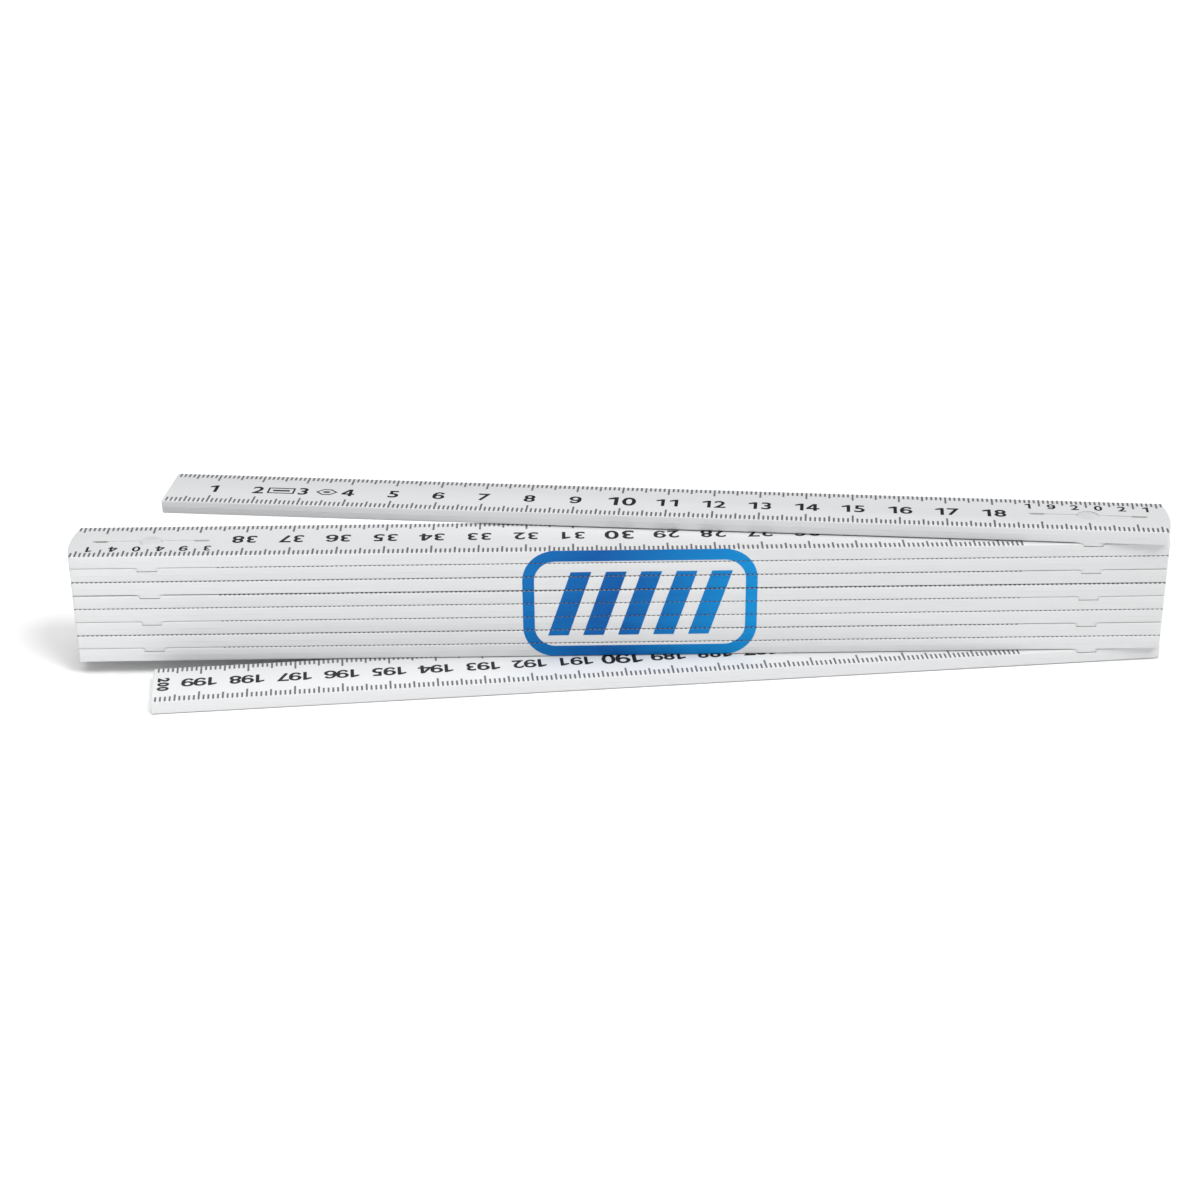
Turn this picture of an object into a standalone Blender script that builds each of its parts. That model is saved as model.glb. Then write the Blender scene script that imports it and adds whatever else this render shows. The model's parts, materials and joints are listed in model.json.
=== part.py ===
"""Folding rule, 2 m long: ten flat plastic links, folded zigzag into a stack.

Metres, +Z up. The origin is on the ground, at the middle of the rule's footprint. +X
runs along the rule, and -Y is its front. The joints stand in two columns of pivots, one
at each end.

link_01, the zero end, is on top, and link_10 is at the bottom. Each link turns on the
one below it, about an upright pin. A link's own frame has its origin on the pin that
joins it to the link below, on its underside, and the link runs along +X from there.
Both end links stand a little open, one to the back and one to the front.
"""

import math

import bmesh
import bpy

MM = 0.001

# Driving dimensions
LINK_COUNT = 10
PIVOT_SPACING = 200 * MM  # scale length that each link carries
LINK_WIDTH = 15 * MM
LINK_RISE = 3.15 * MM  # height that each link adds to the stack
LINK_GAP = 0.1 * MM
END_REACH = 17.3 * MM  # from a pivot to the rounded end beyond it
END_RADIUS = 27 * MM
EDGE_BEVEL = 0.3 * MM
TOP_LINK_SWING = math.radians(6.2)  # link_01 stands open to the back
BOTTOM_LINK_SWING = math.radians(5.2)  # link_10 stands open to the front

# The joint: a round boss under the upper link turns in a recess in the lower link
BOSS_RADIUS = 7.7 * MM
BOSS_DEPTH = 0.75 * MM
RECESS_RADIUS = 7.8 * MM

# The pin, fixed in the lower link
PIN_HEAD_RADIUS = 2.25 * MM
PIN_HEAD_HEIGHT = 0.7 * MM
PIN_HEAD_CHAMFER = 0.15 * MM
PIN_SHAFT_RADIUS = 1.3 * MM
CAM_SIDE = 2.9 * MM
CAM_HEIGHT = 1.5 * MM
CAM_BEVEL = 0.35 * MM
FLUSH_STEP = 0.05 * MM  # the pin's ends lie this far below the links' faces
HOLE_CLEARANCE = 0.1 * MM

# The spring, which sits in the upper link and clicks on the pin's cam
EYE_INNER_RADIUS = 2.0 * MM
EYE_OUTER_RADIUS = 2.4 * MM
SPRING_HALF_LENGTH = 12 * MM
SPRING_TAIL_WIDTH = 0.6 * MM
SPRING_HEIGHT = 1.4 * MM
SPRING_CLEARANCE = 0.2 * MM
SPRING_TAB_LENGTH = 2.6 * MM
SPRING_TAB_DEPTH = 0.3 * MM  # the tab's top lies this far below the link's top face

# The slot over the spring, in the upper link's top face
SLOT_HALF_LENGTH = 12.5 * MM
SLOT_WIDTH = 0.8 * MM
SLOT_DEPTH = 0.25 * MM
WINDOW_LENGTH = 3.3 * MM

# Facets
END_SEGMENTS = 6
DISC_SEGMENTS = 28
BORE_SEGMENTS = 16
SMOOTH_ANGLE = math.radians(30)

# Worked out from the above
HALF_WIDTH = LINK_WIDTH / 2
COLUMN_X = PIVOT_SPACING / 2
LINK_THICKNESS = LINK_RISE - LINK_GAP
SPRING_BOTTOM = FLUSH_STEP
POCKET_TOP = SPRING_BOTTOM + SPRING_HEIGHT + SPRING_CLEARANCE
POCKET_RADIUS = EYE_OUTER_RADIUS + SPRING_CLEARANCE
HEAD_TOP = LINK_THICKNESS - FLUSH_STEP
HEAD_BOTTOM = HEAD_TOP - PIN_HEAD_HEIGHT
FOOT_BOTTOM = FLUSH_STEP - LINK_RISE
FOOT_TOP = FOOT_BOTTOM + PIN_HEAD_HEIGHT
HEAD_HOLE_RADIUS = PIN_HEAD_RADIUS + HOLE_CLEARANCE
SHAFT_HOLE_RADIUS = PIN_SHAFT_RADIUS + HOLE_CLEARANCE
CUT_PAST = 1 * MM  # how far a cutter runs past the face that it opens


def clear_scene():
    for existing in list(bpy.data.objects):
        bpy.data.objects.remove(existing, do_unlink=True)


def new_collection(name, hidden=False):
    collection = bpy.data.collections.new(name)
    bpy.context.scene.collection.children.link(collection)
    collection.hide_render = hidden
    return collection


def principled(name, color, roughness, metallic):
    material = bpy.data.materials.new(name)
    material.use_nodes = True
    shader = material.node_tree.nodes["Principled BSDF"]
    shader.inputs["Base Color"].default_value = (*color, 1.0)
    shader.inputs["Roughness"].default_value = roughness
    shader.inputs["Metallic"].default_value = metallic
    return material


def part_materials():
    """One material for each kind of part, by the start of the part's name."""
    return {
        "link": principled("white_plastic", (0.86, 0.87, 0.88), 0.45, 0.0),
        "pivot": principled("grey_plastic", (0.62, 0.63, 0.64), 0.4, 0.0),
        "detent": principled("spring_steel", (0.55, 0.5, 0.44), 0.35, 1.0),
    }


def arc(center_x, radius, start, end, segments):
    """Points on an arc about a centre on the X axis, angles in radians."""
    step = (end - start) / segments
    angles = [start + step * index for index in range(segments + 1)]
    return [(center_x + radius * math.cos(a), radius * math.sin(a)) for a in angles]


def plate(name, outlines, bottom, top):
    """Closed mesh between two heights. The first outline is the rim, the rest are holes."""
    curve = bpy.data.curves.new(name, "CURVE")
    curve.dimensions = "2D"
    curve.fill_mode = "BOTH"
    curve.extrude = (top - bottom) / 2
    for outline in outlines:
        spline = curve.splines.new("POLY")
        spline.points.add(len(outline) - 1)
        spline.use_cyclic_u = True
        for point, (x, y) in zip(spline.points, outline):
            point.co = (x, y, 0.0, 1.0)
    flat = bpy.data.objects.new(name, curve)
    bpy.context.scene.collection.objects.link(flat)
    bpy.context.view_layer.update()
    graph = bpy.context.evaluated_depsgraph_get()
    mesh = bpy.data.meshes.new_from_object(flat.evaluated_get(graph))
    bpy.data.objects.remove(flat, do_unlink=True)
    weld_and_lift(mesh, (top + bottom) / 2)
    mesh.name = name
    return mesh


def weld_and_lift(mesh, lift):
    """Join the loose caps to the walls, merge the caps' triangles, and raise the whole."""
    shape = bmesh.new()
    shape.from_mesh(mesh)
    bmesh.ops.remove_doubles(shape, verts=shape.verts, dist=MM / 1000)
    bmesh.ops.dissolve_limit(
        shape, angle_limit=math.radians(0.5), verts=shape.verts, edges=shape.edges
    )
    bmesh.ops.translate(shape, verts=shape.verts, vec=(0.0, 0.0, lift))
    bmesh.ops.recalc_face_normals(shape, faces=shape.faces)
    shape.to_mesh(mesh)
    shape.free()


def box(name, start, end):
    """Closed box between two opposite corners."""
    size = [high - low for low, high in zip(start, end)]
    center = [(low + high) / 2 for low, high in zip(start, end)]
    shape = bmesh.new()
    bmesh.ops.create_cube(shape, size=1.0)
    bmesh.ops.scale(shape, verts=shape.verts, vec=size)
    bmesh.ops.translate(shape, verts=shape.verts, vec=center)
    mesh = bpy.data.meshes.new(name)
    shape.to_mesh(mesh)
    shape.free()
    return mesh


def profile(name, points):
    """Half section in the XZ plane, from the top of the axis round to its bottom."""
    mesh = bpy.data.meshes.new(name)
    edges = [(index, index + 1) for index in range(len(points) - 1)]
    mesh.from_pydata([(x, 0.0, z) for x, z in points], edges, [])
    return mesh


def turn(target, segments):
    screw = target.modifiers.new("turn", "SCREW")
    screw.axis = "Z"
    screw.steps = segments
    screw.render_steps = segments
    screw.use_merge_vertices = True
    screw.merge_threshold = MM / 1000
    screw.use_smooth_shade = False


def bevel(target, width):
    modifier = target.modifiers.new("edge_bevel", "BEVEL")
    modifier.width = width
    modifier.segments = 1
    modifier.limit_method = "ANGLE"
    modifier.angle_limit = SMOOTH_ANGLE


def place(name, mesh, collection, parent=None, location=(0.0, 0.0, 0.0), angle=0.0):
    placed = bpy.data.objects.new(name, mesh)
    collection.objects.link(placed)
    placed.parent = parent
    placed.location = location
    placed.rotation_euler.z = angle
    return placed


def combine(target, tool, operation):
    """Join or cut the target with a hidden tool that moves with it."""
    tool.hide_render = True
    tool.display_type = "WIRE"
    modifier = target.modifiers.new(tool.data.name, "BOOLEAN")
    modifier.operation = operation
    modifier.object = tool


def swing_reach(angle):
    """How far an end link's square end, swung open, stands out from the pivots' line."""
    return PIVOT_SPACING * math.sin(angle) + HALF_WIDTH * math.cos(angle)


def bottom_link_location():
    """Puts the far pivot of link_10 in the right-hand column of pivots."""
    column_y = (swing_reach(BOTTOM_LINK_SWING) - swing_reach(TOP_LINK_SWING)) / 2
    x = COLUMN_X - PIVOT_SPACING * math.cos(BOTTOM_LINK_SWING)
    y = column_y - PIVOT_SPACING * math.sin(BOTTOM_LINK_SWING)
    return (x, y, 0.0)


def link_outline(first_square, last_square):
    """Rim of a link, with a square-cut end on a pivot line or an arc beyond the pivot."""
    spread = math.asin(HALF_WIDTH / END_RADIUS)
    inward = END_RADIUS - END_REACH
    if first_square:
        first = [(0.0, HALF_WIDTH), (0.0, -HALF_WIDTH)]
    else:
        first = arc(inward, END_RADIUS, math.pi - spread, math.pi + spread, END_SEGMENTS)
    if last_square:
        last = [(PIVOT_SPACING, -HALF_WIDTH), (PIVOT_SPACING, HALF_WIDTH)]
    else:
        last = arc(PIVOT_SPACING - inward, END_RADIUS, -spread, spread, END_SEGMENTS)
    return first + last


def boss_outline():
    """Round boss, trimmed flush with the link's two sides."""
    spread = math.asin(HALF_WIDTH / BOSS_RADIUS)
    half = DISC_SEGMENTS // 2
    right = arc(0.0, BOSS_RADIUS, -spread, spread, half)
    left = arc(0.0, BOSS_RADIUS, math.pi - spread, math.pi + spread, half)
    return right + left


def spring_outlines():
    """An eye round the pin with a straight tail at each side, and the eye's hole."""
    half_tail = SPRING_TAIL_WIDTH / 2
    root = math.asin(half_tail / EYE_OUTER_RADIUS)
    half = BORE_SEGMENTS // 2
    back = arc(0.0, EYE_OUTER_RADIUS, root, math.pi - root, half)
    front = arc(0.0, EYE_OUTER_RADIUS, math.pi + root, 2 * math.pi - root, half)
    right_tip = [(SPRING_HALF_LENGTH, -half_tail), (SPRING_HALF_LENGTH, half_tail)]
    left_tip = [(-SPRING_HALF_LENGTH, half_tail), (-SPRING_HALF_LENGTH, -half_tail)]
    rim = right_tip + back + left_tip + front
    hole = arc(0.0, EYE_INNER_RADIUS, 0.0, 2 * math.pi, BORE_SEGMENTS)[:-1]
    return [rim, hole]


def spring_tab():
    """Upright tab at the spring's outer tip, which shows in the slot's deep end."""
    half_tail = SPRING_TAIL_WIDTH / 2
    return box(
        "tab",
        (-SPRING_HALF_LENGTH, -half_tail, SPRING_BOTTOM),
        (SPRING_TAB_LENGTH - SPRING_HALF_LENGTH, half_tail, LINK_THICKNESS - SPRING_TAB_DEPTH),
    )


def upper_bore_profile():
    """The head's seat, the pin's hole and the round of the spring's pocket."""
    seat = HEAD_BOTTOM - HOLE_CLEARANCE
    return [
        (0.0, LINK_THICKNESS + CUT_PAST),
        (HEAD_HOLE_RADIUS, LINK_THICKNESS + CUT_PAST),
        (HEAD_HOLE_RADIUS, seat),
        (SHAFT_HOLE_RADIUS, seat),
        (SHAFT_HOLE_RADIUS, POCKET_TOP),
        (POCKET_RADIUS, POCKET_TOP),
        (POCKET_RADIUS, -BOSS_DEPTH - CUT_PAST),
        (0.0, -BOSS_DEPTH - CUT_PAST),
    ]


def lower_bore_profile():
    """The boss's recess, the pin's hole and the foot's seat."""
    recess_floor = LINK_THICKNESS - BOSS_DEPTH
    seat = PIN_HEAD_HEIGHT + FLUSH_STEP + HOLE_CLEARANCE
    return [
        (0.0, LINK_THICKNESS + CUT_PAST),
        (RECESS_RADIUS, LINK_THICKNESS + CUT_PAST),
        (RECESS_RADIUS, recess_floor),
        (SHAFT_HOLE_RADIUS, recess_floor),
        (SHAFT_HOLE_RADIUS, seat),
        (HEAD_HOLE_RADIUS, seat),
        (HEAD_HOLE_RADIUS, -CUT_PAST),
        (0.0, -CUT_PAST),
    ]


def pin_profile():
    """Flat head, shaft and flat foot. Height 0 is the upper link's underside."""
    return [
        (0.0, HEAD_TOP),
        (PIN_HEAD_RADIUS - PIN_HEAD_CHAMFER, HEAD_TOP),
        (PIN_HEAD_RADIUS, HEAD_TOP - PIN_HEAD_CHAMFER),
        (PIN_HEAD_RADIUS, HEAD_BOTTOM),
        (PIN_SHAFT_RADIUS, HEAD_BOTTOM),
        (PIN_SHAFT_RADIUS, FOOT_TOP),
        (PIN_HEAD_RADIUS, FOOT_TOP),
        (PIN_HEAD_RADIUS, FOOT_BOTTOM),
        (0.0, FOOT_BOTTOM),
    ]


def slot_cutters():
    """Boxes for the spring's pocket, the slot above it, and the slot's deep ends."""
    top = LINK_THICKNESS + CUT_PAST
    half_slot = SLOT_WIDTH / 2
    half_pocket = SPRING_TAIL_WIDTH / 2 + SPRING_CLEARANCE
    pocket_end = SPRING_HALF_LENGTH + SPRING_CLEARANCE
    window_start = SLOT_HALF_LENGTH - WINDOW_LENGTH
    window_floor = POCKET_TOP - SPRING_HEIGHT / 2
    yield box(
        "pocket",
        (-pocket_end, -half_pocket, -BOSS_DEPTH - CUT_PAST),
        (pocket_end, half_pocket, POCKET_TOP),
    )
    yield box(
        "slot",
        (-SLOT_HALF_LENGTH, -half_slot, LINK_THICKNESS - SLOT_DEPTH),
        (SLOT_HALF_LENGTH, half_slot, top),
    )
    yield box(
        "window_a",
        (-pocket_end, -half_slot, window_floor),
        (-window_start, half_slot, top),
    )
    yield box(
        "window_b",
        (window_start, -half_slot, window_floor),
        (pocket_end, half_slot, top),
    )


def add_lower_joint(link, cutters, meshes):
    """At the link's origin: boss, bore, pocket and slot."""
    boss = place(f"{link.name}_boss", meshes["boss"], cutters, link)
    bevel(boss, EDGE_BEVEL)
    combine(link, boss, "UNION")
    bore = place(f"{link.name}_upper_bore", meshes["upper_bore"], cutters, link)
    turn(bore, BORE_SEGMENTS)
    combine(link, bore, "DIFFERENCE")
    for mesh in meshes["slot"]:
        cutter = place(f"{link.name}_{mesh.name}", mesh, cutters, link)
        combine(link, cutter, "DIFFERENCE")


def add_upper_joint(link, cutters, meshes):
    """At the link's far pivot: recess, bore and seat."""
    pivot = (PIVOT_SPACING, 0.0, 0.0)
    bore = place(f"{link.name}_lower_bore", meshes["lower_bore"], cutters, link, pivot)
    turn(bore, DISC_SEGMENTS)
    combine(link, bore, "DIFFERENCE")


def bake(parts):
    """Turn each part's modifiers into its mesh, shaded smooth between the true edges."""
    materials = part_materials()
    bpy.context.view_layer.update()
    graph = bpy.context.evaluated_depsgraph_get()
    for part in parts.objects:
        mesh = bpy.data.meshes.new_from_object(part.evaluated_get(graph))
        mesh.name = part.name
        mesh.shade_smooth()
        mesh.set_sharp_from_angle(angle=SMOOTH_ANGLE)
        mesh.materials.clear()
        mesh.materials.append(materials[part.name.split("_")[0]])
        part.modifiers.clear()
        part.data = mesh


def make_link(number, parts, cutters, meshes, below):
    """One link. It is placed on the link below it, or on the ground if it is the last."""
    is_top = number == 1
    is_bottom = number == LINK_COUNT
    kind = "link_top" if is_top else "link_bottom" if is_bottom else "link_middle"
    location = (PIVOT_SPACING, 0.0, LINK_RISE)
    angle = math.pi
    if is_bottom:
        location = bottom_link_location()
        angle = BOTTOM_LINK_SWING
    if is_top:
        angle -= TOP_LINK_SWING
    if number == LINK_COUNT - 1:
        angle -= BOTTOM_LINK_SWING
    link = place(f"link_{number:02d}", meshes[kind], parts, below, location, angle)
    bevel(link, EDGE_BEVEL)
    if not is_bottom:
        add_lower_joint(link, cutters, meshes)
    if not is_top:
        add_upper_joint(link, cutters, meshes)
    return link


def make_pin(number, parts, cutters, meshes, lower_link):
    """Pin between link number and the next. It is fixed in the lower of the two."""
    pivot = (PIVOT_SPACING, 0.0, LINK_RISE)
    name = f"pivot_pin_{number:02d}"
    pin = place(name, meshes["pin"], parts, lower_link, pivot)
    turn(pin, BORE_SEGMENTS)
    cam = place(f"{name}_cam", meshes["cam"], cutters, pin)
    bevel(cam, CAM_BEVEL)
    combine(pin, cam, "UNION")


def make_spring(number, parts, cutters, meshes, upper_link):
    """Spring between link number and the next. It sits in the upper of the two."""
    name = f"detent_spring_{number:02d}"
    spring = place(name, meshes["spring"], parts, upper_link)
    tab = place(f"{name}_tab", meshes["spring_tab"], cutters, spring)
    combine(spring, tab, "UNION")


def shared_meshes():
    """Meshes that the repeated pieces share, before bevels and cuts."""
    half_cam = CAM_SIDE / 2
    boss = plate("boss", [boss_outline()], -BOSS_DEPTH, LINK_THICKNESS / 2)
    spring_top = SPRING_BOTTOM + SPRING_HEIGHT
    return {
        "link_top": plate("link_top", [link_outline(False, True)], 0.0, LINK_THICKNESS),
        "link_middle": plate("link_middle", [link_outline(False, False)], 0.0, LINK_THICKNESS),
        "link_bottom": plate("link_bottom", [link_outline(True, False)], 0.0, LINK_THICKNESS),
        "boss": boss,
        "upper_bore": profile("upper_bore", upper_bore_profile()),
        "lower_bore": profile("lower_bore", lower_bore_profile()),
        "slot": list(slot_cutters()),
        "pin": profile("pin", pin_profile()),
        "cam": box("cam", (-half_cam, -half_cam, 0.0), (half_cam, half_cam, CAM_HEIGHT)),
        "spring": plate("spring", spring_outlines(), SPRING_BOTTOM, spring_top),
        "spring_tab": spring_tab(),
    }


def main():
    clear_scene()
    parts = new_collection("folding_rule")
    cutters = new_collection("folding_rule_cutters", hidden=True)
    meshes = shared_meshes()
    below = None
    for number in range(LINK_COUNT, 0, -1):
        link = make_link(number, parts, cutters, meshes, below)
        if number < LINK_COUNT:
            make_pin(number, parts, cutters, meshes, below)
            make_spring(number, parts, cutters, meshes, link)
        below = link
    bake(parts)


main()
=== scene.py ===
"""Looks of the folding rule: fine links, pins and springs, the printed scale and the blue
print on the front edges, with a pale floor, soft light and the camera.

A link's own frame has its origin on the pin that joins it to the link below, on its
underside. The link runs along +X from there to the pin that joins it to the link above.
"""

import json
import math

import bmesh
import bpy
import numpy as np
from mathutils import Matrix, Vector

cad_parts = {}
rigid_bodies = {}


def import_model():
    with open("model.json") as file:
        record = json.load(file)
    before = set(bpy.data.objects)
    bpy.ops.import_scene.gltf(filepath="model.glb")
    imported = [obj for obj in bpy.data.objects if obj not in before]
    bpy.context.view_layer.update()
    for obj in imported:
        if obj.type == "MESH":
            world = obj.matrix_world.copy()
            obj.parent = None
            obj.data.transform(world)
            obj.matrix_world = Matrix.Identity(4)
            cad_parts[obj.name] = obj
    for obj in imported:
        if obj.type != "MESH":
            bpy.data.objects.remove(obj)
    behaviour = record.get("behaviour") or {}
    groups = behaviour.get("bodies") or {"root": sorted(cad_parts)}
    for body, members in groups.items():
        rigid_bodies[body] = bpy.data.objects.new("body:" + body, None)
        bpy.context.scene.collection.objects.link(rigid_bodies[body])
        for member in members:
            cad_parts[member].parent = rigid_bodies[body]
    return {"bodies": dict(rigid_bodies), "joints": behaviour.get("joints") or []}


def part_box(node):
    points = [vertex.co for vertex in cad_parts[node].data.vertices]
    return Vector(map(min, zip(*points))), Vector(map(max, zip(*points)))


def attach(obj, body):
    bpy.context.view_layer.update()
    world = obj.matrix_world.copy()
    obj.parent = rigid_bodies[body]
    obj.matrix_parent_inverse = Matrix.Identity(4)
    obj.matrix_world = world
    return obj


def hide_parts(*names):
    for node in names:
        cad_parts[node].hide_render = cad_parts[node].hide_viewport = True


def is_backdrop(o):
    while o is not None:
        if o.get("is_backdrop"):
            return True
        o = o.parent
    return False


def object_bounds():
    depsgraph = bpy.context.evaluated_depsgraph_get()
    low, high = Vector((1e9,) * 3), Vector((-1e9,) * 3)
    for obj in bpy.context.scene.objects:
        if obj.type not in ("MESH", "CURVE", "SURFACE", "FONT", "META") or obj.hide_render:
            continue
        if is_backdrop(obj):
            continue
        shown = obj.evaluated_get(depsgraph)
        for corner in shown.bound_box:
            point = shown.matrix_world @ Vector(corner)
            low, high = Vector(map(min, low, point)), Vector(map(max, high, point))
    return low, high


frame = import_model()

CAD_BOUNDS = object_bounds()
MM = 0.001
SEAM_CLOSING = 0.05 * MM  # a fine link lies this much closer to the next than its CAD solid

# The rule's measures, read from the frame
LINK_COUNT = len(frame["bodies"])
JOINTS = {joint["child"]: joint for joint in frame["joints"]}
PIVOTS = {n: Vector(JOINTS[f"link_{n:02d}"]["pos_m"]) for n in range(1, LINK_COUNT)}
PIVOT_SPACING = abs(PIVOTS[1].x - PIVOTS[2].x)
LINK_RISE = PIVOTS[1].z - PIVOTS[2].z
MIDDLE_LOW, MIDDLE_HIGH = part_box("link_05")
LINK_WIDTH = MIDDLE_HIGH.y - MIDDLE_LOW.y
END_REACH = (MIDDLE_HIGH.x - MIDDLE_LOW.x - PIVOT_SPACING) / 2
BOSS_DEPTH = PIVOTS[5].z - MIDDLE_LOW.z
LINK_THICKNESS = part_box("link_10")[1].z + SEAM_CLOSING
PIN_LOW, PIN_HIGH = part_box("pivot_pin_01")
HEAD_TOP = PIN_HIGH.z - PIVOTS[1].z
FOOT_BOTTOM = PIN_LOW.z - PIVOTS[1].z
PIN_RADIUS = (PIN_HIGH.x - PIN_LOW.x) / 2
SPRING_LOW, SPRING_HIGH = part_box("detent_spring_05")
SPRING_HALF_LENGTH = (SPRING_HIGH.x - SPRING_LOW.x) / 2
SPRING_BOTTOM = SPRING_LOW.z - PIVOTS[5].z
SPRING_TAB_TOP = SPRING_HIGH.z - PIVOTS[5].z
HALF_WIDTH = LINK_WIDTH / 2
# How far a link's top face stands low, where the joint above it sits loose
LOOSE_TOPS = {2: 0.2 * MM, 4: 0.05 * MM, 5: 0.15 * MM, 8: 0.05 * MM, 10: 0.1 * MM}

# Details of the joint
END_RADIUS = 27 * MM
EDGE_RADIUS = 0.3 * MM
EDGE_STEPS = 4
BOSS_RADIUS = 7.7 * MM
RECESS_RADIUS = 7.8 * MM
RECESS_CLEARANCE = 0.08 * MM
HOLE_CLEARANCE = 0.1 * MM
HEAD_CLEARANCE = 0.04 * MM
PIN_SHAFT_RADIUS = 1.3 * MM
PIN_HEAD_HEIGHT = 0.7 * MM
PIN_EDGE_RADIUS = 0.15 * MM
CAM_SIDE = 2.9 * MM
CAM_HEIGHT = 1.5 * MM
CAM_EDGE = 0.35 * MM
EYE_INNER_RADIUS = 2.0 * MM
EYE_OUTER_RADIUS = 2.4 * MM
TAIL_WIDTH = 0.6 * MM
SPRING_HEIGHT = 1.4 * MM
SPRING_TOP = SPRING_BOTTOM + SPRING_HEIGHT
SPRING_TAB_LENGTH = 2.6 * MM
SPRING_CLEARANCE = 0.2 * MM
SPRING_EDGE = 0.06 * MM
SLOT_HALF_LENGTH = 12.5 * MM
SLOT_WIDTH = 0.8 * MM
SLOT_DEPTH = 0.25 * MM
WINDOW_LENGTH = 3.3 * MM
POCKET_TOP = SPRING_TOP + SPRING_CLEARANCE
POCKET_RADIUS = EYE_OUTER_RADIUS + SPRING_CLEARANCE
SHAFT_HOLE_RADIUS = PIN_SHAFT_RADIUS + HOLE_CLEARANCE
HEAD_HOLE_RADIUS = PIN_RADIUS + HEAD_CLEARANCE
CUT_PAST = 1 * MM  # how far a cutter runs past the face that it opens

# Facets
ROUND_SEGMENTS = 96
ARC_SEGMENTS = 24
TIP_SEGMENTS = 6
CORNER_SEGMENTS = 12
PIN_EDGE_STEPS = 4
SPRING_EDGE_STEPS = 2
SMOOTH_ANGLE = math.radians(30)
FLAT_ANGLE = math.radians(0.3)
MERGE_DISTANCE = MM / 1000

# The printed scale. Values are in centimetres along the rule.
VALUES_PER_LINK = 20
LINES_PER_VALUE = 10
INK_HEIGHT = 0.02 * MM
TICK_WIDTH = 0.42 * MM
TICK_WRAP_STEPS = 2  # of the edge's EDGE_STEPS, on the top face only
TICK_LENGTHS = {"millimetre": 1.95 * MM, "half": 2.7 * MM, "centimetre": 3.5 * MM}
FIRST_PAST_COVERED = 1.5  # a face is bare where the link above or below lies on it
LAST_BEFORE_END = 1.6
NUMERAL_HEIGHT = 3.6 * MM
TENS_HEIGHT = 4.3 * MM
JOINT_NUMERAL_HEIGHT = 2.5 * MM
JOINT_LONG_NUMERAL_HEIGHT = 1.6 * MM
NUMERAL_SHIFT = 0.35 * MM
JOINT_ROW = -3.9 * MM
JOINT_LONG_ROW = -3.15 * MM  # clear of the pin's head and of the lines
DIGIT_PITCH = {1: 2.9 * MM, 2: 2.9 * MM, 3: 2.6 * MM}
JOINT_DIGIT_STEP = {1: 5.0 * MM, 2: 5.0 * MM, 3: 3.0 * MM}
DIGIT_WIDENING = 1.08
DIGIT_STROKE = 0.19  # of the digit's height, for the digits drawn here
FONT_BOLDNESS = 0.02
FONT_STEPS = 5
FONT_MERGE_DISTANCE = 0.0005  # of the typeface's size
END_VALUE_BOLDNESS = 0.05
END_VALUE_HEIGHT = 2.5 * MM
END_VALUE_PITCH = 2.0 * MM
END_VALUE_INSET = 0.23  # from the rule's end, as a value
MARK_LINE = 0.4 * MM
FRAME_VALUE = 2.51
FRAME_HALF_SIZE = (3.0 * MM, 1.5 * MM)
FRAME_BAR_SHARE = (0.62, 0.25)  # of the frame's length and height
LOZENGE_VALUE = 3.52
LOZENGE_HALF_SIZE = (2.4 * MM, 1.5 * MM)
LOZENGE_HALF_FLAT = 0.9 * MM
LOZENGE_HOLE_SHARE = (0.8, 0.76)
LOZENGE_BEAD_SHARE = (0.42, 0.28)


def link_name(number):
    return f"link_{number:02d}"


def top_height(number):
    """A link's top face, in its own frame. It is lower where the joint above sits loose."""
    return LINK_THICKNESS - LOOSE_TOPS.get(number, 0.0)


def turn_at_rest(number):
    """Angle from the link below to this link. The joint's upper limit is straight."""
    return 2 * math.pi - math.radians(JOINTS[link_name(number)]["range_deg"][1])


def link_angle(number):
    if number == 1:
        return link_angle(2) + turn_at_rest(1)
    if number == LINK_COUNT:
        return link_angle(LINK_COUNT - 1) - turn_at_rest(LINK_COUNT - 1)
    along = PIVOTS[number - 1] - PIVOTS[number]
    return math.atan2(along.y, along.x)


def link_matrix(number):
    turn = Matrix.Rotation(link_angle(number), 4, "Z")
    if number < LINK_COUNT:
        return Matrix.Translation(PIVOTS[number]) @ turn
    far = PIVOTS[LINK_COUNT - 1].copy()
    far.z = 0.0
    return Matrix.Translation(far - turn @ Vector((PIVOT_SPACING, 0.0, 0.0))) @ turn


# ---- mesh helpers ----


def add_object(name, mesh, matrix=Matrix.Identity(4)):
    added = bpy.data.objects.new(name, mesh)
    bpy.context.scene.collection.objects.link(added)
    added.matrix_world = matrix
    return added


def remove_object(target):
    bpy.data.objects.remove(target, do_unlink=True)


def evaluated_mesh(target, name):
    bpy.context.view_layer.update()
    graph = bpy.context.evaluated_depsgraph_get()
    mesh = bpy.data.meshes.new_from_object(target.evaluated_get(graph))
    mesh.name = name
    return mesh


def shade(mesh, material):
    mesh.shade_smooth()
    mesh.set_sharp_from_angle(angle=SMOOTH_ANGLE)
    mesh.materials.clear()
    mesh.materials.append(material)
    return mesh


def arc(center, radius, start, end, segments):
    """Points on an arc, from one angle to another in radians."""
    step = (end - start) / segments
    angles = [start + step * index for index in range(segments + 1)]
    x, y = center
    return [(x + radius * math.cos(a), y + radius * math.sin(a)) for a in angles]


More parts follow.
